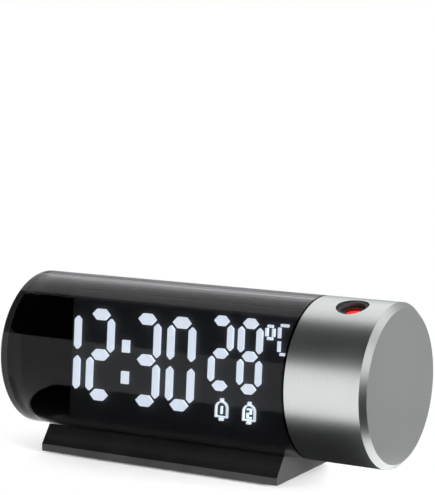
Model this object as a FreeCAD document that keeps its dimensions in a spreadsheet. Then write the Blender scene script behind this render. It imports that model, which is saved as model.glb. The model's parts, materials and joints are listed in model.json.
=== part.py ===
"""Projection alarm clock: a round body on a wedge stand, with a turning projector head.

The frame has +X along the body's axis towards the projector head, +Y to the rear and +Z up.
The origin is on the table, under the middle of the body. Lengths are in millimetres.
"""
import FreeCAD, Part
import os
import re
import Sketcher
from FreeCAD import Placement, Rotation, Vector

doc = FreeCAD.newDocument("ProjectionClock")
sheet = doc.addObject("Spreadsheet::Sheet", "Sizes")

SIZES = {
    # whole clock
    "body_radius": 30.0,
    "overall_length": 155.0,
    "body_lift": 9.8,
    "shell_wall": 2.0,
    "edge_round": 0.6,
    "slip_gap": 0.15,
    "seat_gap": 0.3,
    # left end
    "end_ring_length": 3.45,
    "end_plug_length": 5.0,
    # turning head
    "head_length": 31.4,
    "head_gap": 0.4,
    "bevel_length": 2.08,
    "bevel_depth": 2.04,
    "end_cap_thickness": 3.6,
    "head_floor": 2.4,
    "pivot_radius": 8.0,
    "pivot_bore": 5.0,
    "pivot_clearance": 0.05,
    "pivot_wall": 1.0,
    "bulkhead_thickness": 3.0,
    "bearing_length": 6.0,
    "retainer_thickness": 1.6,
    "retainer_overhang": 3.0,
    # stand
    "stand_left_inset": 7.5,
    "stand_right_inset": 42.6,
    "stand_front": 13.9,
    "stand_back": 26.0,
    "stand_lip": 2.8,
    "stand_wall": 2.0,
    "saddle_front": 8.5,
    "saddle_back": 14.0,
    "saddle_gap": 0.15,
    "foot_height": 1.0,
    "foot_radius": 3.5,
    "foot_recess": 0.6,
    "plate_thickness": 1.4,
    "plate_inset": 1.5,
    # display
    "display_setback": 14.0,
    "display_tilt": 5.0,
    "panel_inset": 21.9,
    "panel_fit": 0.5,
    "turn_clearance": 0.5,
    "panel_thickness": 1.2,
    "segment_depth": 1.2,
    "diffuser_thickness": 2.0,
    "board_thickness": 1.6,
    "led_radius": 1.5,
    "led_height": 1.0,
    "main_board_back": 4.0,
    "main_board_height": 30.0,
    "main_board_drop": 20.0,
    # large digits
    "big_margin": 3.0,
    "big_pitch": 15.2,
    "big_width": 9.2,
    "big_height": 30.5,
    "big_middle": 2.1,
    "big_bar": 4.1,
    "big_post": 2.7,
    "minutes_offset": 51.2,
    "colon_offset": 22.2,
    "colon_width": 3.0,
    "colon_height": 4.6,
    # small digits
    "small_offset": 59.8,
    "small_pitch": 12.2,
    "small_width": 7.7,
    "small_height": 23.7,
    "small_middle": 7.7,
    "small_bar": 3.6,
    "small_post": 2.3,
    "segment_gap": 1.3,
    "mark_stroke": 0.95,
    "letter_height": 10.3,
    "bell_inset": 5.2,
    "bell_pitch": 11.6,
    "bell_drop": 8.05,
    # rear controls
    "facet_angle": 55.0,
    "facet_cut": 2.0,
    "seam_margin": 30.0,
    "facet_wall": 2.0,
    "button_depth": 7.0,
    "button_spacing": 5.0,
    "snooze_length": 20.0,
    "snooze_margin": 11.4,
    "button_inset": 21.5,
    "button_proud": 1.0,
    "button_travel": 0.6,
    "button_gap": 0.25,
    "button_flange": 1.0,
    "switch_height": 1.6,
    # power inlet
    "inlet_inset": 57.5,
    "inlet_radius": 3.2,
    "inlet_pin_radius": 1.05,
    "inlet_drop": 6.0,
    "inlet_depth": 10.0,
    # coin cell and its door
    "cell_radius": 10.0,
    "cell_thickness": 3.2,
    "cell_inset": 50.0,
    "cell_y": 10.3,
    "door_radius": 11.5,
    # projector
    "lens_offset": 0.2,
    "lens_lean": 15.0,
    "lens_hole_radius": 6.0,
    "focus_ring_wall": 1.1,
    "focus_sink": 0.9,
    "focus_ring_length": 5.0,
    "barrel_wall": 1.2,
    "lens_thickness": 2.6,
    "lens_curve": 9.0,
    "lens_cell_length": 7.0,
    "focus_travel": 1.0,
    "screw_radius": 1.25,
    "screw_head_radius": 2.4,
    "post_radius": 2.0,
    "lamp_post_spread": 7.0,
}

# What follows from the driving sizes
DERIVED = {
    "axis_height": "(body_radius + body_lift)",
    "stand_left": "(-overall_length / 2 + stand_left_inset)",
    "stand_right": "(overall_length / 2 - stand_right_inset)",
    "panel_left": "(-overall_length / 2 + panel_inset)",
    "board_right": "(overall_length / 2 - head_length - head_gap / 2 - bulkhead_thickness"
                   " - bearing_length - retainer_thickness - turn_clearance)",
    "panel_reach": "sqrt((body_radius - shell_wall - panel_fit)^2"
                   " - ((display_setback - segment_depth) * cos(display_tilt))^2)",
    "panel_shift": "((display_setback - segment_depth) * sin(display_tilt))",
    "panel_low": "(panel_shift - panel_reach)",
    "panel_high": "(panel_shift + panel_reach)",
    "big_left": "(panel_left + big_margin)",
    "minutes_right": "(big_left + minutes_offset)",
    "colon_x": "(big_left + colon_offset)",
    "small_left": "(big_left + small_offset)",
    "facet_distance": "(body_radius - facet_cut)",
    "button_first": "(-overall_length / 2 + button_inset)",
    "button_pitch": "((overall_length - head_length - head_gap / 2 - bulkhead_thickness"
                    " - snooze_margin - button_inset - snooze_length + button_spacing / 2) / 5)",
    "button_length": "(button_pitch - button_spacing)",
    "inlet_x": "(overall_length / 2 - inlet_inset)",
    "cell_x": "(stand_left + cell_inset)",
    "lens_x": "(overall_length / 2 - head_length / 2 + lens_offset)",
}

for row, (alias, number) in enumerate(SIZES.items(), start=1):
    sheet.set("A%d" % row, alias)
    sheet.set("B%d" % row, str(number))
    sheet.setAlias("B%d" % row, alias)
doc.recompute()

X_AXIS = Vector(1, 0, 0)
Y_AXIS = Vector(0, 1, 0)
FACE_RIGHT = Rotation(Y_AXIS, 90)      # turns a piece's own Z to +X
FACE_BACK = Rotation(X_AXIS, -90)      # turns a piece's own Z to +Y

finished = []


def size(name):
    """The number of a named size, driving or derived."""
    return value(name) if name in DERIVED else float(sheet.get(name))


def bound(text):
    """The formula with derived names opened out and each driving size tied to its cell."""
    while any(name in DERIVED for name in re.findall(r"[a-z][a-z_]+", text)):
        text = re.sub(r"[a-z][a-z_]+", lambda m: DERIVED.get(m.group(0), m.group(0)), text)
    return re.sub(r"[a-z][a-z_]+", lambda m: "Sizes." + m.group(0) if m.group(0) in SIZES
                  else m.group(0), text)


def value(text):
    """The number that a formula gives now, worked out by the document itself."""
    probe.setExpression("Length", bound("1000 mm + (%s) * 1 mm" % text))
    probe.recompute()
    return probe.Length.Value - 1000


probe = doc.addObject("Part::Box", "Probe")


def place(thing, at, turn=None):
    """Ties the three coordinates of a piece's place to formulas."""
    thing.Placement = Placement(Vector(), turn or Rotation())
    for axis, formula in zip("xyz", at):
        thing.setExpression("Placement.Base." + axis, bound(formula))
    return thing


def box(name, low, extent):
    """A block from its low corner and its three side lengths."""
    thing = doc.addObject("Part::Box", name)
    for side, formula in zip(("Length", "Width", "Height"), extent):
        thing.setExpression(side, bound(formula))
    return place(thing, low)


def rod(name, radius, length, at=("0", "0", "0"), turn=None):
    """A round bar that starts at a point and runs along its own Z."""
    thing = doc.addObject("Part::Cylinder", name)
    thing.setExpression("Radius", bound(radius))
    thing.setExpression("Height", bound(length))
    return place(thing, at, turn)


def cut(name, base, *tools):
    """The base with each tool taken out of it."""
    for index, tool in enumerate(tools):
        last = index == len(tools) - 1
        result = doc.addObject("Part::Cut", name if last else "%s_cut%d" % (name, index))
        result.Base = base
        result.Tool = tool
        base = result
    return base


def fuse(name, *pieces):
    """Several overlapping solids made one."""
    thing = doc.addObject("Part::MultiFuse", name)
    thing.Shapes = list(pieces)
    thing.Refine = True
    return thing


def common(name, first, second):
    """What two solids share."""
    thing = doc.addObject("Part::Common", name)
    thing.Base = first
    thing.Tool = second
    return thing


def group(name, pieces):
    """Separate solids kept in one node."""
    thing = doc.addObject("Part::Compound", name)
    thing.Links = list(pieces)
    return thing


def node(thing, label):
    """Marks a finished sub-part and gives it the name of its file."""
    thing.Label = label
    finished.append(thing)
    return thing


def profile(body, name, plane, points):
    """A closed outline of straight lines, each corner tied to two formulas."""
    sketch = body.newObject("Sketcher::SketchObject", name)
    origin = [item for item in body.Origin.OriginFeatures if item.Role == plane][0]
    sketch.AttachmentSupport = [(origin, "")]
    sketch.MapMode = "FlatFace"
    corners = [(value(x), value(y)) for x, y in points]
    for index, start in enumerate(corners):
        end = corners[(index + 1) % len(corners)]
        sketch.addGeometry(Part.LineSegment(Vector(*start, 0), Vector(*end, 0)))
    for index in range(len(corners)):
        sketch.addConstraint(
            Sketcher.Constraint("Coincident", index, 2, (index + 1) % len(corners), 1))
    for index, pair in enumerate(points):
        for kind, formula, number in zip(("DistanceX", "DistanceY"), pair, corners[index]):
            tie = sketch.addConstraint(Sketcher.Constraint(kind, -1, 1, index, 1, number))
            sketch.setExpression("Constraints[%d]" % tie, bound(formula))
    return sketch


def turned(label, points, at):
    """A turned piece: an outline of (along, radius) corners spun about its own X."""
    body = doc.addObject("PartDesign::Body", label)
    sketch = profile(body, label + "_outline", "XY_Plane", points)
    spin = body.newObject("PartDesign::Revolution", label + "_spin")
    spin.Profile = sketch
    spin.ReferenceAxis = (sketch, ["H_Axis"])
    spin.Angle = 360
    place(body, at)
    return body


R = "body_radius"
BORE = "(body_radius - shell_wall)"
LEFT = "(-overall_length / 2)"
RIGHT = "(overall_length / 2)"
JOINT = "(overall_length / 2 - head_length)"
BODY_END = "(overall_length / 2 - head_length - head_gap / 2)"
HEAD_START = "(overall_length / 2 - head_length + head_gap / 2)"
BAND_LEFT = "(-overall_length / 2 + end_ring_length + slip_gap)"
AXIS = "axis_height"
# Degrees of rear shell, from the bottom round the back to just past the button facet
SEAM = 180 - size("facet_angle") + size("seam_margin")
BULKHEAD_LEFT = "(%s - bulkhead_thickness)" % BODY_END


def shell_sector(name, start, sweep):
    """A length of the body's tube wall between two angles, counted from the bottom."""
    turn = FACE_RIGHT.multiply(Rotation(Vector(0, 0, 1), start))
    length = "%s - %s - %s" % (BODY_END, BAND_LEFT, "slip_gap")
    outer = rod(name + "_outer", R, length, (BAND_LEFT, "0", AXIS), turn)
    inner = rod(name + "_inner", BORE, length + " + 2", (BAND_LEFT + " - 1", "0", AXIS), turn)
    outer.Angle = sweep
    return cut(name, outer, inner)


def front_window():
    """The smoked window: the front and top of the tube, from under the stand to past the top."""
    return node(shell_sector("front_window", SEAM + 0.25, 360 - SEAM - 0.5), "front_window")


FACET = Placement(Vector(0, 0, size("axis_height")),
                  Rotation(X_AXIS, -size("facet_angle")))
BUTTONS = ["mode", "alarm", "down", "up", "projection"]


def button_x(index):
    """Where along the body each small button is."""
    return "(button_first + %d * button_pitch)" % index


SNOOZE_X = "(button_first + 4.5 * button_pitch + (button_length + snooze_length) / 2)"


def set_in(frame, thing):
    """Carries a piece, drawn in a tilted frame of its own, into the clock's frame."""
    carrier = group(thing.Name + "_set", [thing])
    carrier.Placement = frame
    return carrier


def in_facet(thing):
    """Sets a piece, drawn with Z out of the button facet, into the body's frame."""
    return set_in(FACET, thing)


def slot_hole(name, middle, length, low, high, gap):
    """A block through the facet, as wide as a button and its gap."""
    return box(name, ("%s - %s / 2 - %s" % (middle, length, gap),
                      "-button_depth / 2 - %s" % gap, low),
               ("%s + 2 * %s" % (length, gap), "button_depth + 2 * %s" % gap,
                "%s - (%s)" % (high, low)))


def rear_shell():
    """The opaque back: tube wall, flat button facet, inlet hole, vents and screw posts."""
    wall = shell_sector("rear_wall", 0, SEAM)
    start = "(%s + end_plug_length + 1)" % BAND_LEFT
    length = "(%s - bearing_length - %s)" % (BULKHEAD_LEFT, start)
    pad = box("facet_pad", (start, "-13", "facet_distance - facet_wall"),
              (length, "26", "facet_wall + 1"))
    trim = box("facet_trim", (start, "-body_radius", "facet_distance"),
               (length, "2 * body_radius", "body_radius"))
    bore = rod("pad_limit", "body_radius - 0.5", "overall_length", (LEFT, "0", "0"), FACE_RIGHT)
    pad = common("facet_pad_round", pad, bore)
    whole = fuse("rear_wall_pad", wall, in_facet(pad))
    tools = [in_facet(trim)]
    for index, name in enumerate(BUTTONS):
        hole = slot_hole(name + "_hole", button_x(index), "button_length", "10", "40",
                         "button_gap")
        tools.append(in_facet(hole))
    hole = slot_hole("snooze_hole", SNOOZE_X, "snooze_length", "10", "40", "button_gap")
    tools.append(in_facet(hole))
    tools.append(rod("inlet_hole", "inlet_radius + 0.8", "20",
                     ("inlet_x", "20", AXIS + " - inlet_drop"), FACE_BACK))
    for index in range(7):
        tools.append(box("vent%d" % index, ("panel_left + 3.6 + %d * 4" % index, "15", AXIS + " - 14"),
                         ("1.4", "20", "9")))
    for side, along in (("left", "stand_left + 12"), ("right", "stand_right - 12")):
        tools.append(rod("stand_screw_way_" + side, "screw_radius + slip_gap", "12",
                         (along, "6", AXIS + " - body_radius - 2")))
    return node(cut("rear_shell", whole, *tools), "rear_shell")


def left_end_cap():
    """The black end ring and disc, with a plug that holds both shells."""
    plug = "(%s - slip_gap)" % BORE
    points = [("0", "0"), ("0", R + " - edge_round"), ("edge_round", R),
              ("end_ring_length", R), ("end_ring_length", plug),
              ("end_ring_length + end_plug_length", plug),
              ("end_ring_length + end_plug_length", plug + " - shell_wall"),
              ("end_ring_length", plug + " - shell_wall"), ("end_ring_length", "0")]
    return node(turned("left_end_cap", points, (LEFT, "0", AXIS)), "left_end_cap")


def bulkhead():
    """The fixed wall at the head's end, with the bearing that the head turns in."""
    hole = "(pivot_radius + pivot_clearance)"
    rim = "(%s - slip_gap)" % BORE
    points = [("0", hole), ("0", hole + " + 2.5"), ("bearing_length", hole + " + 2.5"),
              ("bearing_length", rim), ("bearing_length + bulkhead_thickness", rim),
              ("bearing_length + bulkhead_thickness", hole)]
    wall = turned("bulkhead_blank", points, (BULKHEAD_LEFT + " - bearing_length", "0", AXIS))
    relief = box("display_relief", (BULKHEAD_LEFT, "-body_radius", "axis_height - body_radius"),
                 ("bulkhead_thickness + 1", "body_radius - pivot_radius - pivot_wall",
                  "2 * body_radius"))
    return node(cut("bulkhead", wall, relief), "bulkhead")


def stand():
    """The wedge stand: a saddle under the round body, open below and closed by a plate."""
    body = doc.addObject("PartDesign::Body", "stand_blank")
    low = "foot_height"
    reach = "(body_radius + saddle_gap)"

    def saddle(y):
        return "(axis_height - sqrt(%s^2 - %s^2))" % (reach, y)

    steps = 8
    curve = []
    for index in range(steps + 1):
        y = "(-saddle_front + (saddle_front + saddle_back) * %d / %d)" % (index, steps)
        curve.append((y, saddle(y)))
    points = [("-stand_front", low), ("-stand_front", low + " + stand_lip")]
    points += curve + [("stand_back", low + " + stand_lip"), ("stand_back", low)]
    sketch = profile(body, "stand_outline", "YZ_Plane", points)
    pad = body.newObject("PartDesign::Pad", "stand_pad")
    pad.Profile = sketch
    pad.setExpression("Length", bound("stand_right - stand_left"))
    place(body, ("stand_left", "0", "0"))
    saddle_cut = rod("saddle_cut", "body_radius + saddle_gap", "stand_right - stand_left + 2",
                     ("stand_left - 1", "0", AXIS), FACE_RIGHT)
    top = AXIS + " - body_radius - saddle_gap - stand_wall"
    hollow = box("stand_hollow", ("stand_left + stand_wall", "-stand_front + stand_wall + 3",
                                  "foot_height - 1"),
                 ("stand_right - stand_left - 2 * stand_wall",
                  "stand_front + stand_back - 2 * stand_wall - 6", top + " - foot_height + 1"))
    recess = box("plate_recess", ("stand_left + plate_inset", "-stand_front + plate_inset",
                                  "foot_height - 1"),
                 ("stand_right - stand_left - 2 * plate_inset",
                  "stand_front + stand_back - 2 * plate_inset",
                  "plate_thickness + 1 + slip_gap"))
    ways = []
    for side, along in (("left", "stand_left + 12"), ("right", "stand_right - 12")):
        ways.append(rod("stand_way_" + side, "screw_radius + slip_gap", "12",
                        (along, "6", "foot_height + 2")))
    return node(cut("stand_whole", body, saddle_cut, hollow, recess, *ways), "stand")


def stand_plate():
    """The flat plate under the stand, with the coin cell door's hole and foot recesses."""
    edge = "(plate_inset + slip_gap)"
    plate = box("plate_blank", ("stand_left + " + edge, "-stand_front + " + edge, "foot_height"),
                ("stand_right - stand_left - 2 * " + edge,
                 "stand_front + stand_back - 2 * " + edge, "plate_thickness"))
    tools = [rod("door_hole", "door_radius + seat_gap", "plate_thickness + 2",
                 ("cell_x", "cell_y", "foot_height - 1"))]
    for index, (x, y) in enumerate(foot_places()):
        tools.append(rod("foot_recess%d" % index, "foot_radius + slip_gap", "foot_recess + 1",
                         (x, y, "foot_height - 1")))
    for index, (x, y) in enumerate(plate_screw_places()):
        tools.append(rod("plate_screw_hole%d" % index, "screw_head_radius + slip_gap",
                         "plate_thickness + 2", (x, y, "foot_height - 1")))
    return node(cut("stand_plate", plate, *tools), "stand_plate")


def foot_places():
    """Four feet near the corners of the stand."""
    left, right = "(stand_left + 7.5)", "(stand_right - 7.5)"
    front, back = "(-stand_front + 6.5)", "(stand_back - 6.5)"
    return [(left, front), (right, front), (left, back), (right, back)]


def plate_screw_places():
    """Two screws on the stand's centre line hold the plate."""
    return [("(stand_left + 30)", "6"), ("(stand_right - 24)", "6")]


def rubber_feet():
    """Four round rubber feet, let into the plate."""
    feet = [rod("foot%d" % index, "foot_radius", "foot_height + foot_recess", (x, y, "0"))
            for index, (x, y) in enumerate(foot_places())]
    return node(group("rubber_feet", feet), "rubber_feet")


def plate_screws():
    """The plate's screws, flush with it, up to the stand's roof."""
    top = "(axis_height - body_radius - saddle_gap - stand_wall)"
    screws = []
    for index, (x, y) in enumerate(plate_screw_places()):
        head = rod("plate_screw_head%d" % index, "screw_head_radius", "plate_thickness",
                   (x, y, "foot_height"))
        shank = rod("plate_screw_shank%d" % index, "screw_radius",
                    top + " - foot_height - plate_thickness / 2",
                    (x, y, "foot_height + plate_thickness / 2"))
        slot = box("plate_screw_slot%d" % index,
                   (x + " - screw_head_radius", y + " - 0.3", "foot_height - 1"),
                   ("2 * screw_head_radius", "0.6", "1.5"))
        screws.append(cut("plate_screw%d" % index,
                          fuse("plate_screw_blank%d" % index, head, shank), slot))
    return node(group("plate_screws", screws), "plate_screws")


def stand_screws():
    """Two screws through the stand's roof into the round body."""
    start = "(axis_height - body_radius - saddle_gap - stand_wall)"
    screws = []
    for side, along in (("left", "stand_left + 12"), ("right", "stand_right - 12")):
        head = rod("stand_screw_head_" + side, "screw_head_radius", "1.6",
                   (along, "6", start + " - 1.6"))
        shank = rod("stand_screw_shank_" + side, "screw_radius",
                    "stand_wall + shell_wall + 4", (along, "6", start + " - 0.1"))
        screws.append(fuse("stand_screw_" + side, head, shank))
    return node(group("stand_screws", screws), "stand_screws")


def coin_cell():
    """The memory battery, lying in the stand above its door."""
    blank = rod("coin_cell", "cell_radius", "cell_thickness",
                ("cell_x", "cell_y", "foot_height + plate_thickness + seat_gap"))
    return node(blank, "coin_cell")


def battery_door():
    """The round door under the coin cell, turned with a coin in its slot."""
    disc = rod("door_disc", "door_radius", "plate_thickness", ("0", "0", "0"))
    slot = box("door_slot", ("-6", "-0.8", "-1"), ("12", "1.6", "1.7"))
    door = cut("battery_door", disc, slot)
    return node(place(door, ("cell_x", "cell_y", "foot_height")), "battery_door")


DISPLAY = Placement(Vector(0, -size("display_setback"), size("axis_height")),
                    Rotation(X_AXIS, 90 - size("display_tilt")))


def in_display(thing, label):
    """Sets a piece, drawn flat with its own Y up and Z to the viewer, into the display."""
    return node(set_in(DISPLAY, thing), label)


def slab(name, thickness, front, right, trim):
    """A display layer behind the digits: its thickness, front face, right end and margin."""
    return box(name, ("panel_left + " + trim, "panel_low + " + trim,
                      "-(%s) - %s" % (front, thickness)),
               ("%s - panel_left - %s" % (right, trim),
                "panel_high - panel_low - 2 * " + trim, thickness))


def display_stack():
    """The dark panel, the light diffuser and the lamp board behind the digits."""
    panel_end = "(%s - seat_gap)" % BODY_END
    in_display(slab("panel", "panel_thickness", "segment_depth", panel_end, "0"),
               "display_panel")
    behind = "segment_depth + panel_thickness"
    in_display(slab("diffuser", "diffuser_thickness", behind, "board_right", "1"),
               "display_diffuser")
    behind += " + diffuser_thickness + led_height + seat_gap"
    in_display(slab("lamp_carrier", "board_thickness", behind, "board_right", "2"),
               "display_board")
    spacers = []
    for index, x in enumerate(("panel_left + 5", "board_right - 4")):
        for row, y in enumerate(("panel_low + 5", "panel_high - 5")):
            spacers.append(rod("spacer%d_%d" % (index, row), "post_radius",
                               "led_height + seat_gap", (x, y, "-(%s)" % behind)))
    in_display(group("spacers", spacers), "display_spacers")
    lamps = []
    for index in range(6):
        for row in range(3):
            lamps.append(rod("lamp%d_%d" % (index, row), "led_radius", "led_height",
                             ("panel_left + 10 + %d * (board_right - panel_left - 20) / 5" % index,
                              "panel_low + %d * (panel_high - panel_low) / 4" % (row + 1),
                              "-(%s)" % behind)))
    in_display(group("lamps", lamps), "display_leds")


def bar(name, middle, long_side, thick, upright):
    """One six-sided display segment, flat, centred on a point."""
    x, y = (size_of(middle[0]), size_of(middle[1]))
    half, flat = size_of(long_side) / 2, size_of(thick) / 2
    point = min(flat, half)
    corners = [(-half, 0), (-half + point, flat), (half - point, flat),
               (half, 0), (half - point, -flat), (-half + point, -flat)]
    if upright:
        corners = [(-b, a) for a, b in corners]
    outline = [Vector(x + a, y + b, -size("segment_depth")) for a, b in corners]
    face = Part.Face(Part.makePolygon(outline + outline[:1]))
    return face.extrude(Vector(0, 0, size("segment_depth")))


def size_of(item):
    """A number as it is, or a named size."""
    return size(item) if isinstance(item, str) else item


SEGMENTS = {"0": "abcdef", "1": "bc", "2": "abged", "3": "abgcd", "8": "abcdefg"}


def digit(name, figure, left, kind):
    """The lit segments of one figure, whose left posts stand at a given place."""
    wide, tall = size(kind + "_width"), size(kind + "_height")
    middle, gap = size(kind + "_middle"), size("segment_gap")
    flat, post = size(kind + "_bar"), size(kind + "_post")
    across, upper, lower = left + wide / 2, middle + tall / 4, middle - tall / 4
    long_bar, long_post = wide - 1.2 * gap, tall / 2 - 2 * gap
    places = {"a": (across, middle + tall / 2, 0), "g": (across, middle, 0),
              "d": (across, middle - tall / 2, 0), "f": (left, upper, 1),
              "b": (left + wide, upper, 1), "e": (left, lower, 1), "c": (left + wide, lower, 1)}
    made = []
    for letter in SEGMENTS[figure]:
        x, y, upright = places[letter]
        if upright:
            made.append(bar(name, (x, y), long_post, post, True))
        else:
            made.append(bar(name, (x, y), long_bar, flat, False))
    return made


def plain_block(x, y, wide, tall):
    """A small square-edged mark, centred on a point of the display."""
    depth = size("segment_depth")
    return Part.makeBox(wide, tall, depth, Vector(x - wide / 2, y - tall / 2, -depth))


def degree_mark():
    """The degree ring and the letter beside it, as short strokes."""
    stroke = size("mark_stroke")
    x = size("small_left") + 2 * size("small_pitch") - 0.25
    top = size("small_middle") + size("small_height") / 2 - 0.2
    marks = [plain_block(x, top, 2.1, stroke), plain_block(x, top - 4.4, 2.1, stroke),
             plain_block(x - 1.4, top - 2.2, stroke, 2.9),
             plain_block(x + 1.4, top - 2.2, stroke, 2.9)]
    x += 5.7
    marks += [plain_block(x + 0.2, top + 0.7, 3.0, stroke),
              plain_block(x + 0.2, top + 0.7 - size("letter_height"), 3.0, stroke),
              plain_block(x - 1.9, top - 2.0, stroke, 3.7),
              plain_block(x - 1.9, top - 6.9, stroke, 3.7)]
    return marks


def bell(x, y, figure):
    """An alarm bell outline with a plain figure in it."""
    depth = size("segment_depth")
    outer, inner = 2.6, 2.1

    def dome(radius, foot):
        points = [Vector(x - radius, y - foot, -depth), Vector(x - radius, y, -depth),
                  Vector(x, y + radius, -depth), Vector(x + radius, y, -depth),
                  Vector(x + radius, y - foot, -depth)]
        edges = [Part.makeLine(points[0], points[1]),
                 Part.Arc(points[1], points[2], points[3]).toShape(),
                 Part.makeLine(points[3], points[4]), Part.makeLine(points[4], points[0])]
        return Part.Face(Part.Wire(edges)).extrude(Vector(0, 0, depth))

    marks = [dome(outer, 3.4).cut(dome(inner, 2.9)), plain_block(x, y + 3.1, 1.2, 0.8),
             plain_block(x, y - 4.1, 1.6, 0.8)]
    if figure == 1:
        marks.append(plain_block(x, y - 0.7, 0.5, 2.8))
    else:
        marks += [plain_block(x, y + 0.8, 1.8, 0.5), plain_block(x + 0.65, y + 0.05, 0.5, 0.9),
                  plain_block(x, y - 0.75, 1.8, 0.5), plain_block(x - 0.65, y - 1.5, 0.5, 0.9),
                  plain_block(x, y - 2.25, 1.8, 0.5)]
    return marks


def lit_marks():
    """All lit figures: the time, the temperature and the two alarm bells."""
    first, pitch = size("big_left"), size("big_pitch")
    wide = size("big_width")
    time_marks = digit("h1", "1", first - wide, "big")
    time_marks += digit("h2", "2", first + pitch - wide, "big")
    last = size("minutes_right") - wide
    time_marks += digit("m1", "3", last - pitch, "big")
    time_marks += digit("m2", "0", last, "big")
    for up in (4.3, -7.5):
        time_marks.append(plain_block(size("colon_x"), size("big_middle") + up,
                                      size("colon_width"), size("colon_height")))
    small = size("small_left")
    heat_marks = digit("t1", "2", small, "small")
    heat_marks += digit("t2", "8", small + size("small_pitch"), "small")
    heat_marks += degree_mark()
    bell_x = small + size("bell_inset")
    bell_y = size("small_middle") - size("small_height") / 2 - size("bell_drop")
    bells = bell(bell_x, bell_y, 1) + bell(bell_x + size("bell_pitch"), bell_y, 2)
    for label, marks in (("time_figures", time_marks), ("temperature_figures", heat_marks),
                         ("alarm_bells", bells)):
        thing = doc.addObject("Part::Feature", label + "_marks")
        thing.Shape = Part.makeCompound(marks)
        in_display(thing, label)


def main_board():
    """The upright circuit board behind the display, with its chips."""
    board = box("main_board", ("panel_left + 5.6", "main_board_back", AXIS + " - main_board_drop"),
                ("board_right - panel_left - 10.4", "board_thickness", "main_board_height"))
    node(board, "main_board")
    behind = "main_board_back + board_thickness"
    posts = []
    for index, x in enumerate(("panel_left + 11.6", "board_right - 6.8")):
        for row, drop in enumerate(("-12", "2")):
            wall = "sqrt(%s^2 - (abs(%s) + post_radius)^2)" % (BORE, drop)
            posts.append(rod("board_post%d_%d" % (index, row), "post_radius",
                             "%s - slip_gap - %s" % (wall, behind.replace("+", "-")),
                             (x, behind, AXIS + " + " + drop), FACE_BACK))
    node(group("board_posts", posts), "board_posts")
    chips = [box("chip_main", ("panel_left + 35.6", behind, AXIS + " - 8"), ("12", "1.6", "12")),
             box("chip_clock", ("panel_left + 57.6", behind, AXIS + " - 4"), ("6", "1.4", "5")),
             box("chip_power", ("panel_left + 15.6", behind, AXIS + " + 1"), ("5", "1.4", "4"))]
    node(group("board_chips", chips), "board_chips")
    buzzer = rod("buzzer", "6", "5.5", ("panel_left + 21.6", behind, AXIS + " - 12"), FACE_BACK)
    node(buzzer, "buzzer")


def button_board():
    """The board under the buttons, with a small switch for each."""
    roof = "(facet_distance - facet_wall - button_flange - seat_gap - button_travel)"
    board_top = "(%s - switch_height)" % roof
    board = box("key_board", ("button_first - 8", "-7", board_top + " - board_thickness"),
                ("%s + snooze_length / 2 + 2 - button_first + 8" % SNOOZE_X, "14",
                 "board_thickness"))
    node(in_facet(board), "button_board")
    posts = [rod("key_post%d" % index, "button_flange", "facet_distance - facet_wall - " + board_top,
                 (button_x(index) + " + button_pitch / 2", "0", board_top))
             for index in range(5)]
    node(in_facet(group("key_posts", posts)), "button_board_posts")
    switches = [box("switch%d" % index, (place_x + " - 2.5", "-2.5", board_top),
                    ("5", "5", "switch_height"))
                for index, place_x in enumerate([button_x(i) for i in range(5)] + [SNOOZE_X])]
    node(in_facet(group("key_switches", switches)), "tact_switches")


def button(label, middle, length):
    """A push button: its cap stands proud of the facet and its flange stays behind it."""
    flange_top = "facet_distance - facet_wall - slip_gap"
    cap = slot_hole(label + "_cap", middle, length, "facet_distance - facet_wall - 1",
                    "facet_distance + button_proud", "0")
    flange = slot_hole(label + "_flange", middle, length,
                       flange_top + " - button_flange", flange_top, "0.9")
    return node(in_facet(fuse(label + "_solid", cap, flange)), label)


def power_inlet():
    """The round low-voltage socket at the back, with its centre pin."""
    start = "(body_radius - inlet_depth - 1.4)"
    face = (AXIS + " - inlet_drop")
    block = box("inlet_block", ("inlet_x - 4.5", start, face + " - 5"),
                ("9", "inlet_depth - 4", "10"))
    nose = rod("inlet_nose", "inlet_radius + 0.6", "inlet_depth", ("inlet_x", start, face),
               FACE_BACK)
    hole = rod("inlet_bore", "inlet_radius", "inlet_depth", ("inlet_x", start + " + 1.5", face),
               FACE_BACK)
    pin = rod("inlet_pin", "inlet_pin_radius", "inlet_depth - 2", ("inlet_x", start + " + 1",
                                                                  face), FACE_BACK)
    return node(fuse("power_inlet", cut("inlet_body", fuse("inlet_outer", block, nose), hole),
                     pin), "power_inlet")


def head_shell():
    """The metal band of the head, open to the right, with the hole for the lens."""
    inner = BORE
    points = [("0", "pivot_radius + slip_gap"), ("0", R),
              ("head_length - head_gap / 2 - bevel_length", R),
              ("head_length - head_gap / 2 - bevel_length", inner), ("head_floor", inner),
              ("head_floor", "pivot_radius + slip_gap")]
    blank = turned("head_blank", points, (HEAD_START, "0", AXIS))
    hole = rod("lens_hole", "lens_hole_radius", "body_radius", ("0", "0", "body_radius / 2"))
    return node(cut("head_band", blank, set_in(LENS, hole)), "head_shell")


def head_end_cap():
    """The flat metal end face with its bevelled rim and a plug into the band."""
    plug = "(%s - slip_gap)" % BORE
    points = [("0", plug + " - shell_wall"), ("0", plug), ("end_cap_thickness", plug),
              ("end_cap_thickness", R), ("end_cap_thickness + bevel_length", R + " - bevel_depth"),
              ("end_cap_thickness + bevel_length", "0"), ("end_cap_thickness", "0"),
              ("end_cap_thickness", plug + " - shell_wall")]
    return node(turned("head_end_cap", points,
                       (RIGHT + " - bevel_length - end_cap_thickness", "0", AXIS)),
                "head_end_cap")


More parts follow.
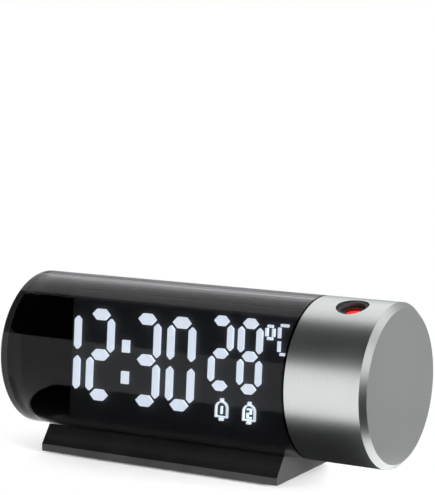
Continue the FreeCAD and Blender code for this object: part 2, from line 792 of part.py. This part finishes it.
def head_pivot():
    """The hollow stub that the head turns on, with a flange inside the band."""
    reach = "(bearing_length + bulkhead_thickness + head_gap + head_floor)"
    points = [("0", "pivot_bore"), ("0", "pivot_radius"), (reach, "pivot_radius"),
              (reach, "pivot_radius + 4"), (reach + " + 1.6", "pivot_radius + 4"),
              (reach + " + 1.6", "pivot_bore")]
    return node(turned("head_pivot", points,
                       (BULKHEAD_LEFT + " - bearing_length", "0", AXIS)), "head_pivot")


def pivot_retainer():
    """The washer on the stub's inner end that keeps the head from pulling out."""
    start = "(%s - bearing_length - retainer_thickness)" % BULKHEAD_LEFT
    points = [("0", "pivot_bore"), ("0", "pivot_radius + retainer_overhang"),
              ("retainer_thickness - 0.05", "pivot_radius + retainer_overhang"),
              ("retainer_thickness - 0.05", "pivot_radius - 1"),
              ("retainer_thickness", "pivot_radius - 1"), ("retainer_thickness", "pivot_bore")]
    return node(turned("pivot_retainer", points, (start, "0", AXIS)), "pivot_retainer")


LENS = Placement(Vector(size("lens_x"), 0, size("axis_height")),
                 Rotation(X_AXIS, size("lens_lean")))
RING_TOP = "(body_radius - focus_sink)"
RING_OUT = "(lens_hole_radius - seat_gap)"
CELL_OUT = "(lens_hole_radius - seat_gap - focus_ring_wall - seat_gap)"


def in_lens(thing, label):
    """Sets a piece, drawn along the light path, into the head."""
    return node(set_in(LENS, thing), label)


def tube(name, outer, inner, low, high):
    """A plain tube along the light path."""
    return cut(name, rod(name + "_out", outer, "%s - (%s)" % (high, low), ("0", "0", low)),
               rod(name + "_in", inner, "%s - (%s) + 2" % (high, low),
                   ("0", "0", "%s - 1" % low)))


def projector():
    """The projector: barrel, focus ring, lens cell, lenses, picture slide and red lamp."""
    ring_low = RING_TOP + " - focus_ring_length"
    in_lens(tube("ring", RING_OUT, CELL_OUT + " + seat_gap", ring_low, RING_TOP),
            "focus_ring")
    cell_high = RING_TOP + " - focus_travel - 0.4"
    cell_low = cell_high + " - lens_cell_length"
    in_lens(tube("cell", CELL_OUT, CELL_OUT + " - 0.8", cell_low, cell_high), "lens_cell")
    flat = rod("lens_blank", CELL_OUT + " - 0.9", "lens_thickness",
               ("0", "0", cell_high + " - lens_thickness - 0.6"))
    in_lens(common("dome", flat, lens_ball(cell_high)), "projection_lens")
    barrel_high = ring_low + " - seat_gap"
    barrel_low = "2"
    in_lens(tube("barrel", CELL_OUT + " + seat_gap + barrel_wall",
                 CELL_OUT + " + seat_gap", barrel_low, barrel_high), "projector_barrel")
    block_low = "-14"
    block = box("slide_block", ("-9", "-9", block_low), ("18", "18", "2 - %s" % block_low))
    way = rod("slide_way", "5", "30", ("0", "0", block_low + " - 1"))
    slot = box("slide_slot", ("-7.15", "-7.15", "-3.15"), ("14.3", "20", "1.5"))
    in_lens(cut("slide_housing", block, way, slot), "projector_housing")
    in_lens(box("slide", ("-7", "-7", "-3"), ("14", "14", "1.2")), "picture_slide")
    in_lens(rod("condenser", "4.8", "3", ("0", "0", "-8")), "condenser_lens")
    in_lens(box("red_board", ("-10", "-10", block_low + " - board_thickness"),
                ("20", "20", "board_thickness")), "lamp_board")
    in_lens(rod("red_lamp", "2.2", "2.4", ("0", "0", block_low)), "projector_lamp")
    wall = "(%s - slip_gap)" % BORE
    posts = [rod("post%d" % index, "1.5", wall + " - 14 - board_thickness", (x, "0", "-" + wall))
             for index, x in enumerate(("-lamp_post_spread", "lamp_post_spread"))]
    in_lens(group("posts", posts), "projector_posts")


def lens_ball(cell_high):
    """The ball that gives the projection lens its domed front."""
    ball = doc.addObject("Part::Sphere", "lens_ball")
    ball.setExpression("Radius", bound("lens_curve"))
    return place(ball, ("0", "0", cell_high + " - 0.6 - lens_curve"))


def build():
    """Makes every sub-part of the clock."""
    front_window()
    rear_shell()
    left_end_cap()
    bulkhead()
    stand()
    stand_plate()
    rubber_feet()
    plate_screws()
    stand_screws()
    coin_cell()
    battery_door()
    display_stack()
    lit_marks()
    main_board()
    button_board()
    for index, name in enumerate(BUTTONS):
        button(name + "_button", button_x(index), "button_length")
    button("snooze_button", SNOOZE_X, "snooze_length")
    power_inlet()
    head_shell()
    head_end_cap()
    head_pivot()
    pivot_retainer()
    projector()


build()
doc.recompute()
os.makedirs("parts", exist_ok=True)
for item in doc.Objects:
    if "Invalid" in item.State or "Error" in item.State:
        raise RuntimeError("%s did not compute: %s" % (item.Name, item.State))
for part in finished:
    if part.Shape.isNull() or not part.Shape.isValid():
        raise RuntimeError("%s has no valid shape" % part.Label)
for part in finished:
    part.Shape.exportStep("parts/%s.step" % part.Label)
    print(part.Label, len(part.Shape.Solids), round(part.Shape.Volume, 1))
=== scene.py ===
"""Looks of the projection alarm clock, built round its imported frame."""
import json
import math
import bpy
from mathutils import Matrix, Vector


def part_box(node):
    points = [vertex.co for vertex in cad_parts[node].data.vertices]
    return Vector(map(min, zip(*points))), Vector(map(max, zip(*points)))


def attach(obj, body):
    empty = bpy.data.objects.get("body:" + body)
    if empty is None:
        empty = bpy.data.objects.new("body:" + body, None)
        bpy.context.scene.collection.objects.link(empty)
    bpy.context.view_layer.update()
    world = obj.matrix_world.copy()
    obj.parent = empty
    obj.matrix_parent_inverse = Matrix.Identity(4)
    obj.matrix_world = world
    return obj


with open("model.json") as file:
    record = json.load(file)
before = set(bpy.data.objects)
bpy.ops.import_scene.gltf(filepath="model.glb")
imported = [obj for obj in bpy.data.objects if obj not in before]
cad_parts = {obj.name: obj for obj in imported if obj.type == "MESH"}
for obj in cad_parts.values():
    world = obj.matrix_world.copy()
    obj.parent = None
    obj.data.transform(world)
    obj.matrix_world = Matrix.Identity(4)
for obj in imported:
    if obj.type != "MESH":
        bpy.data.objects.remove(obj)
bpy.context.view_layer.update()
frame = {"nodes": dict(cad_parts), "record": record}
nodes = frame["nodes"]
slots = {item["node"]: item["material_slot"] for item in frame["record"]["subparts"]}

low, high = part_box("head_end_cap")
AXIS_HEIGHT = (high[2] + low[2]) / 2
BODY_MIDDLE = Vector((0, 0, AXIS_HEIGHT))
COLOUR_A, COLOUR_B = 6, 7               # the mix node's colour inputs, which share their labels
FLOAT_A, FLOAT_B = 2, 3                # the mix node's number inputs
COLOUR_OUT = 2
CAMERA_ANGLES = (30.58, 7.98, -0.23)   # yaw, pitch and roll in degrees
CAMERA_PLACE = (0.3453, -0.5809, 0.17914)
CAMERA_LENS = 133.06                   # millimetres, on a sensor 36 mm high
CLEAR_END = 0.0004                     # metres of the window's right end that are printed black
SYMBOL_SINK, SYMBOL_RISE = 0.00005, 0.00012
FACET_LEAN = math.radians(55)          # the button facet faces this far from up, to the back
BUTTON_TOP = 0.029                     # metres from the body's axis to the buttons' faces
FADE_START, FADE_END = 0.022, 0.050     # metres from the clock over which the floor turns white


def camera():
    """The photograph's viewpoint: a long lens, to the right of the front and a little above."""
    yaw, pitch, roll = (math.radians(angle) for angle in CAMERA_ANGLES)
    back = Vector((math.sin(yaw) * math.cos(pitch), -math.cos(yaw) * math.cos(pitch),
                   math.sin(pitch)))
    right = Vector((math.cos(yaw), math.sin(yaw), 0))
    up = back.cross(right)
    level_right = math.cos(roll) * right + math.sin(roll) * up
    level_up = math.cos(roll) * up - math.sin(roll) * right
    data = bpy.data.cameras.new("photo_camera")
    data.sensor_fit = "VERTICAL"
    data.sensor_height = 36
    data.lens = CAMERA_LENS
    data.clip_start = 0.01
    thing = bpy.data.objects.new("photo_camera", data)
    bpy.context.scene.collection.objects.link(thing)
    turn = Matrix((level_right, level_up, back)).transposed().to_4x4()
    thing.matrix_world = Matrix.Translation(CAMERA_PLACE) @ turn
    bpy.context.scene.camera = thing


def new_material(name):
    """An empty material with its principled shader."""
    material = bpy.data.materials.new(name)
    material.use_nodes = True
    return material, material.node_tree, material.node_tree.nodes["Principled BSDF"]


def add(tree, kind, **settings):
    """A shader node with some of its inputs and settings given."""
    item = tree.nodes.new(kind)
    for key, setting in settings.items():
        label = key.replace("_", " ")
        if label in item.inputs:
            item.inputs[label].default_value = setting
        else:
            setattr(item, key, setting)
    return item


def stretched_noise(tree, stretch, scale, detail=3.0):
    """Noise in the object's own coordinates, drawn out along chosen axes."""
    coordinates = add(tree, "ShaderNodeTexCoord")
    mapping = add(tree, "ShaderNodeMapping")
    mapping.inputs["Scale"].default_value = stretch
    noise = add(tree, "ShaderNodeTexNoise", Scale=scale, Detail=detail)
    tree.links.new(coordinates.outputs["Object"], mapping.inputs["Vector"])
    tree.links.new(mapping.outputs["Vector"], noise.inputs["Vector"])
    return noise.outputs["Fac"]


def vary(tree, source, target, lowest, highest):
    """Maps noise to a range and feeds it to an input."""
    spread = add(tree, "ShaderNodeMapRange")
    spread.inputs["From Min"].default_value = 0.3
    spread.inputs["From Max"].default_value = 0.7
    spread.inputs["To Min"].default_value = lowest
    spread.inputs["To Max"].default_value = highest
    tree.links.new(source, spread.inputs["Value"])
    tree.links.new(spread.outputs["Result"], target)


def tint(tree, source, target, dark, light):
    """Varies a colour softly between two near tones."""
    ramp = add(tree, "ShaderNodeValToRGB")
    ramp.color_ramp.elements[0].position = 0.35
    ramp.color_ramp.elements[1].position = 0.65
    ramp.color_ramp.elements[0].color = (*dark, 1)
    ramp.color_ramp.elements[1].color = (*light, 1)
    tree.links.new(source, ramp.inputs["Fac"])
    tree.links.new(ramp.outputs["Color"], target)


def bump(tree, shader, source, strength, distance):
    """Raises the surface a little by noise."""
    relief = add(tree, "ShaderNodeBump", Strength=strength, Distance=distance)
    tree.links.new(source, relief.inputs["Height"])
    tree.links.new(relief.outputs["Normal"], shader.inputs["Normal"])


def plastic(name, dark, light, rough, specular=0.5, grain=900, relief=0.00002, coat=0.0):
    """Moulded plastic: near tones, a varied gloss and a fine skin."""
    material, tree, shader = new_material(name)
    patches = stretched_noise(tree, (1, 1, 1), 60)
    skin = stretched_noise(tree, (1, 1, 1), grain)
    tint(tree, patches, shader.inputs["Base Color"], dark, light)
    vary(tree, patches, shader.inputs["Roughness"], rough[0], rough[1])
    shader.inputs["Specular IOR Level"].default_value = specular
    shader.inputs["Coat Weight"].default_value = coat
    bump(tree, shader, skin, 0.3, relief)
    return material


def stand_finish():
    """The stand: its sloping faces are polished and get a painted shade, much darker than its
    upright edges, which are left satin.
    """
    material, tree, shader = new_material("stand_black")
    patches = stretched_noise(tree, (1, 1, 1), 60)
    skin = stretched_noise(tree, (1, 1, 1), 900)
    geometry = add(tree, "ShaderNodeNewGeometry")
    parts = add(tree, "ShaderNodeSeparateXYZ")
    # Mask for the painted shade and the gloss: 0 on upright faces, 1 on faces that look up.
    upward_shade_and_gloss = add(tree, "ShaderNodeMapRange")
    upward_shade_and_gloss.inputs["From Min"].default_value = 0.15
    upward_shade_and_gloss.inputs["From Max"].default_value = 0.4
    painted_shade_tones = add(tree, "ShaderNodeMix", data_type="RGBA")
    glosses = add(tree, "ShaderNodeMix", data_type="FLOAT")
    tree.links.new(geometry.outputs["Normal"], parts.inputs[0])
    tree.links.new(parts.outputs["Z"], upward_shade_and_gloss.inputs["Value"])
    tree.links.new(upward_shade_and_gloss.outputs["Result"], painted_shade_tones.inputs[0])
    tree.links.new(upward_shade_and_gloss.outputs["Result"], glosses.inputs[0])
    # Painted shade: upright faces take the lighter pair of tones, faces that look up the far
    # darker pair, for how the light falls.
    tint(tree, patches, painted_shade_tones.inputs[COLOUR_A], (0.020, 0.020, 0.0205), (0.025, 0.025, 0.0255))
    tint(tree, patches, painted_shade_tones.inputs[COLOUR_B], (0.003, 0.003, 0.0032), (0.0045, 0.0045, 0.0048))
    vary(tree, patches, glosses.inputs[FLOAT_A], 0.35, 0.45)
    vary(tree, patches, glosses.inputs[FLOAT_B], 0.16, 0.20)
    tree.links.new(painted_shade_tones.outputs[COLOUR_OUT], shader.inputs["Base Color"])
    tree.links.new(glosses.outputs[0], shader.inputs["Roughness"])
    shader.inputs["Specular IOR Level"].default_value = 0.3
    bump(tree, shader, skin, 0.2, 0.00001)
    return material


def satin_metal(name, dark, light, rough, stretch):
    """Bead-finished metal with very fine turning marks."""
    material, tree, shader = new_material(name)
    marks = stretched_noise(tree, stretch, 1.0, 2.0)
    patches = stretched_noise(tree, (1, 1, 1), 45)
    tint(tree, marks, shader.inputs["Base Color"], dark, light)
    vary(tree, patches, shader.inputs["Roughness"], rough[0], rough[1])
    shader.inputs["Metallic"].default_value = 1.0
    bump(tree, shader, marks, 0.02, 0.00001)
    return material


def smoked_window():
    """Dark see-through acrylic with a polished skin and a black printed right end."""
    material, tree, shader = new_material("smoked_window")
    patches = stretched_noise(tree, (1, 1, 1), 30)
    darken = add(tree, "ShaderNodeMix", data_type="RGBA", blend_type="MULTIPLY")
    darken.inputs["Factor"].default_value = 1.0
    tint(tree, patches, darken.inputs[COLOUR_A], (0.40, 0.40, 0.42), (0.42, 0.42, 0.44))
    tree.links.new(darken.outputs[COLOUR_OUT], shader.inputs["Base Color"])
    vary(tree, patches, shader.inputs["Roughness"], 0.015, 0.03)
    coordinates = add(tree, "ShaderNodeTexCoord")
    parts = add(tree, "ShaderNodeSeparateXYZ")
    clear = add(tree, "ShaderNodeMath", operation="LESS_THAN")
    clear.inputs[1].default_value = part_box("front_window")[1][0] - CLEAR_END
    tree.links.new(coordinates.outputs["Object"], parts.inputs[0])
    tree.links.new(parts.outputs["X"], clear.inputs[0])
    tree.links.new(clear.outputs[0], shader.inputs["Transmission Weight"])
    tree.links.new(clear.outputs[0], darken.inputs[COLOUR_B])
    shader.inputs["IOR"].default_value = 1.25
    shader.inputs["Specular IOR Level"].default_value = 0.5
    return material


def glass(name, colour):
    """Clear optical glass with a faint coating."""
    material, tree, shader = new_material(name)
    patches = stretched_noise(tree, (1, 1, 1), 200)
    vary(tree, patches, shader.inputs["Roughness"], 0.0, 0.02)
    shader.inputs["Base Color"].default_value = (*colour, 1)
    shader.inputs["Transmission Weight"].default_value = 1.0
    shader.inputs["IOR"].default_value = 1.5
    return material


def glowing(name, colour, strength, variation=0.06):
    """A lit diffuser: nearly even light with a soft variation."""
    material, tree, shader = new_material(name)
    patches = stretched_noise(tree, (1, 1, 1), 500)
    shade = tuple(part * (1 - variation) for part in colour)
    tint(tree, patches, shader.inputs["Emission Color"], shade, colour)
    shader.inputs["Base Color"].default_value = (*colour, 1)
    shader.inputs["Roughness"].default_value = 0.5
    shader.inputs["Emission Strength"].default_value = strength
    return material


def make_materials():
    """One material for each slot of the record."""
    along = (1500, 30, 30)
    made = {
        "gloss_black": plastic("gloss_black", (0.004, 0.004, 0.0045), (0.006, 0.006, 0.0065),
                               (0.05, 0.09), 0.35),
        "smoked_window": smoked_window(),
        "matte_black": plastic("matte_black", (0.012, 0.012, 0.013), (0.02, 0.02, 0.02),
                               (0.5, 0.65)),
        "rubber": plastic("rubber", (0.012, 0.012, 0.012), (0.02, 0.02, 0.02), (0.75, 0.9)),
        "panel_grey": plastic("panel_grey", (0.055, 0.058, 0.063), (0.065, 0.068, 0.074),
                              (0.55, 0.7)),
        "white_plastic": plastic("white_plastic", (0.7, 0.7, 0.7), (0.8, 0.8, 0.8), (0.4, 0.5)),
        "circuit_board": plastic("circuit_board", (0.01, 0.06, 0.03), (0.02, 0.09, 0.04),
                                 (0.3, 0.45)),
        "chip_black": plastic("chip_black", (0.015, 0.015, 0.015), (0.03, 0.03, 0.03),
                              (0.5, 0.6)),
        "button_black": plastic("button_black", (0.015, 0.015, 0.016), (0.022, 0.022, 0.023),
                                (0.35, 0.5)),
        "satin_metal": satin_metal("satin_metal", (0.72, 0.755, 0.745), (0.745, 0.78, 0.77),
                                   (0.33, 0.37), along),
        "steel": satin_metal("steel", (0.5, 0.5, 0.5), (0.65, 0.65, 0.65), (0.25, 0.35),
                             (300, 300, 300)),
        "clear_lens": glass("clear_lens", (1.0, 0.9, 0.9)),
        "lamp_white": glowing("lamp_white", (1, 1, 0.95), 0.4),
        "lit_white": glowing("lit_white", (0.834, 0.917, 1.0), 1.95),
        "lamp_red": glowing("lamp_red", (1.0, 0.03, 0.02), 60.0),
    }
    own = {
        "stand": stand_finish(),
        "projection_lens": glowing("lens_red", (1.0, 0.01, 0.01), 2.6),
    }
    for name, thing in nodes.items():
        thing.data.materials.clear()
        thing.data.materials.append(own.get(name, made[slots[name]]))
    return made


def bar_outline(left, low, right, high):
    """A rectangle's corners, in millimetres across and up the button."""
    return [(left, low), (right, low), (right, high), (left, high)]


def zigzag(left, low, size, stroke):
    """A letter Z drawn as one outline."""
    right, high = left + size, low + size
    return [(left, low), (right, low), (right, low + stroke), (left + 1.6 * stroke, low + stroke),
            (right, high - stroke), (right, high), (left, high), (left, high - stroke),
            (right - 1.6 * stroke, high - stroke), (left, low + stroke)]


SYMBOLS = {
    "mode_button": [bar_outline(-1.6, level, 1.6, level + 0.5) for level in (-1.45, -0.25, 0.95)],
    "alarm_button": [[(-1.6, -1.1), (1.6, -1.1), (1.2, -0.6), (1.1, 0.6), (0.6, 1.3), (0.2, 1.45),
                      (-0.2, 1.45), (-0.6, 1.3), (-1.1, 0.6), (-1.2, -0.6)],
                     bar_outline(-0.4, -1.7, 0.4, -1.3)],
    "down_button": [[(-1.5, 0.9), (0, -1.3), (1.5, 0.9)]],
    "up_button": [[(-1.5, -0.9), (1.5, -0.9), (0, 1.3)]],
    "projection_button": [bar_outline(-0.5, -1.6, 0.5, -1.0),
                          [(-0.35, -0.7), (0.35, -0.7), (1.7, 1.4), (-1.7, 1.4)]],
    "snooze_button": [zigzag(-2.6, -1.4, 2.8, 0.55), zigzag(0.6, -1.4, 1.9, 0.45)],
}


def facet_point(x, along, out):
    """A point of the rear facet's own frame, brought into the clock's frame, in metres."""
    return (x, along * math.cos(FACET_LEAN) + out * math.sin(FACET_LEAN),
            AXIS_HEIGHT - along * math.sin(FACET_LEAN) + out * math.cos(FACET_LEAN))


def button_symbols(material):
    """A plain raised mark on each button, so that they can be told apart."""
    for button, outlines in SYMBOLS.items():
        low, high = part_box(button)
        middle = (low[0] + high[0]) / 2
        corners, faces = [], []
        for outline in outlines:
            first, count = len(corners), len(outline)
            for out, narrow in ((BUTTON_TOP - SYMBOL_SINK, 1.0), (BUTTON_TOP + SYMBOL_RISE, 0.97)):
                corners += [facet_point(middle - u * narrow / 1000, -v * narrow / 1000, out)
                            for u, v in outline]
            faces.append(list(range(first + count, first + 2 * count)))
            faces += [(first + k, first + (k + 1) % count, first + count + (k + 1) % count,
                       first + count + k) for k in range(count)]
        mesh = bpy.data.meshes.new(button + "_symbol")
        mesh.from_pydata(corners, [], faces)
        mesh.materials.append(material)
        thing = bpy.data.objects.new(button + "_symbol", mesh)
        bpy.context.scene.collection.objects.link(thing)
        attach(thing, button)


def straight_paths(tree):
    """1 where the eye, a reflection or a clear piece looks at a surface, otherwise 0."""
    path = add(tree, "ShaderNodeLightPath")
    first = add(tree, "ShaderNodeMath", operation="MAXIMUM")
    second = add(tree, "ShaderNodeMath", operation="MAXIMUM")
    tree.links.new(path.outputs["Is Camera Ray"], first.inputs[0])
    tree.links.new(path.outputs["Is Glossy Ray"], first.inputs[1])
    tree.links.new(first.outputs[0], second.inputs[0])
    tree.links.new(path.outputs["Is Transmission Ray"], second.inputs[1])
    return second.outputs[0]


def pale_floor():
    """A pale floor that keeps the clock's shadow and fades to white away from it."""
    material, tree, shader = new_material("pale_floor")
    grain = stretched_noise(tree, (1, 1, 1), 120)
    tint(tree, grain, shader.inputs["Base Color"], (0.90, 0.90, 0.90), (0.92, 0.92, 0.92))
    shader.inputs["Roughness"].default_value = 0.9
    shader.inputs["Specular IOR Level"].default_value = 0.1
    coordinates = add(tree, "ShaderNodeTexCoord")
    squeeze = add(tree, "ShaderNodeMapping")
    squeeze.inputs["Scale"].default_value = (0.45, 1, 1)
    away = add(tree, "ShaderNodeVectorMath", operation="LENGTH")
    fade = add(tree, "ShaderNodeMapRange", interpolation_type="SMOOTHSTEP")
    fade.inputs["From Min"].default_value = FADE_START
    fade.inputs["From Max"].default_value = FADE_END
    seen = add(tree, "ShaderNodeMath", operation="MULTIPLY")
    white = add(tree, "ShaderNodeEmission", Strength=1.0)
    mix = add(tree, "ShaderNodeMixShader")
    tree.links.new(coordinates.outputs["Object"], squeeze.inputs["Vector"])
    tree.links.new(squeeze.outputs["Vector"], away.inputs[0])
    tree.links.new(away.outputs["Value"], fade.inputs["Value"])
    tree.links.new(fade.outputs["Result"], seen.inputs[0])
    tree.links.new(straight_paths(tree), seen.inputs[1])
    tree.links.new(seen.outputs[0], mix.inputs[0])
    tree.links.new(shader.outputs[0], mix.inputs[1])
    tree.links.new(white.outputs[0], mix.inputs[2])
    tree.links.new(mix.outputs[0], tree.nodes["Material Output"].inputs["Surface"])
    return material


def even_card(name, brightness):
    """A card of its own near-even brightness, for what the metal and the window reflect."""
    material, tree, shader = new_material(name)
    patches = stretched_noise(tree, (1, 1, 1), 6)
    shade, light = (0.95,) * 3, (1.0,) * 3
    tint(tree, patches, shader.inputs["Emission Color"], shade, light)
    shader.inputs["Base Color"].default_value = (0, 0, 0, 1)
    shader.inputs["Specular IOR Level"].default_value = 0
    shader.inputs["Emission Strength"].default_value = brightness
    return material


def floor_and_cards():
    """The floor, and the cards that shape what the clock reflects, one of them a painted shade
    under the clock.
    """
    sheet("floor", (0, 0, 0), (6, 6), (0, 0, 0), pale_floor())
    dark = even_card("dark_card", 0.02)
    grey = even_card("grey_card", 0.38)
    cards = (sheet("card_above", (-0.15, -0.56, 0.62), (1.7, 1.28), (0, 0, 0), dark),
             sheet("card_beside", (0.155, 0.135, 0.035), (0.3, 0.3), (90, 0, -30), grey),
             sheet("card_behind", (0.155, 0.09, 0.0006), (0.15, 0.12), (0, 0, 0), grey),
             sheet("card_right", (0.35, -0.19, 0.03), (0.5, 0.14), (90, 0, -120), dark),
             sheet("card_front", (0.24, -0.12, 0.0004), (0.28, 0.3), (0, 0, 0), dark),
             # Painted shade: a dark sheet on the floor under the clock, seen only in reflections,
             # stands in for the floor's shade there.
             sheet("shade_card_below", (-0.006, -0.012, 0.0005), (0.156, 0.1), (0, 0, 0), dark),
             sheet("card_far", (-0.4, 0.6, 0.12), (1.2, 0.34), (90, 0, 30), grey))
    for card in cards:
        card.visible_camera = False
        card.visible_diffuse = False
        card.visible_shadow = False


def sheet(name, middle, extent, turn, material):
    """A flat rectangle of the studio."""
    half_x, half_y = extent[0] / 2, extent[1] / 2
    mesh = bpy.data.meshes.new(name)
    corners = [(-half_x, -half_y, 0), (half_x, -half_y, 0), (half_x, half_y, 0),
               (-half_x, half_y, 0)]
    mesh.from_pydata(corners, [], [(0, 1, 2, 3)])
    mesh.materials.append(material)
    thing = bpy.data.objects.new(name, mesh)
    thing.location = middle
    thing.rotation_euler = [math.radians(angle) for angle in turn]
    bpy.context.scene.collection.objects.link(thing)
    return thing


def lamp(name, place, size, power, target=BODY_MIDDLE):
    """A square soft lamp aimed at the clock."""
    data = bpy.data.lights.new(name, "AREA")
    data.shape = "SQUARE"
    data.size = size
    data.energy = power
    thing = bpy.data.objects.new(name, data)
    thing.location = place
    direction = target - Vector(place)
    thing.rotation_euler = direction.to_track_quat("-Z", "Y").to_euler()
    thing.visible_glossy = False
    thing.visible_transmission = False
    bpy.context.scene.collection.objects.link(thing)
    return thing


def studio():
    """White surroundings for the eye and for reflections, softer light for the surfaces."""
    world = bpy.data.worlds.new("studio")
    bpy.context.scene.world = world
    world.use_nodes = True
    tree = world.node_tree
    output = tree.nodes["World Output"]
    soft = tree.nodes["Background"]
    soft.inputs["Color"].default_value = (1, 1, 1, 1)
    soft.inputs["Strength"].default_value = 0.7
    white = add(tree, "ShaderNodeBackground", Strength=1.0)
    white.inputs["Color"].default_value = (1, 1, 1, 1)
    mix = add(tree, "ShaderNodeMixShader")
    tree.links.new(straight_paths(tree), mix.inputs[0])
    tree.links.new(soft.outputs[0], mix.inputs[1])
    tree.links.new(white.outputs[0], mix.inputs[2])
    tree.links.new(mix.outputs[0], output.inputs["Surface"])
    lamp("lamp_front", (-0.6, -1.02, 0.26), 0.5, 6)
    lamp("lamp_right", (0.75, -0.25, 0.05), 0.3, 50)
    lamp("lamp_back", (-0.5, 0.9, 0.75), 0.6, 5)


camera()
materials = make_materials()
button_symbols(materials["white_plastic"])
floor_and_cards()
studio()
bpy.context.scene.view_settings.view_transform = "Standard"
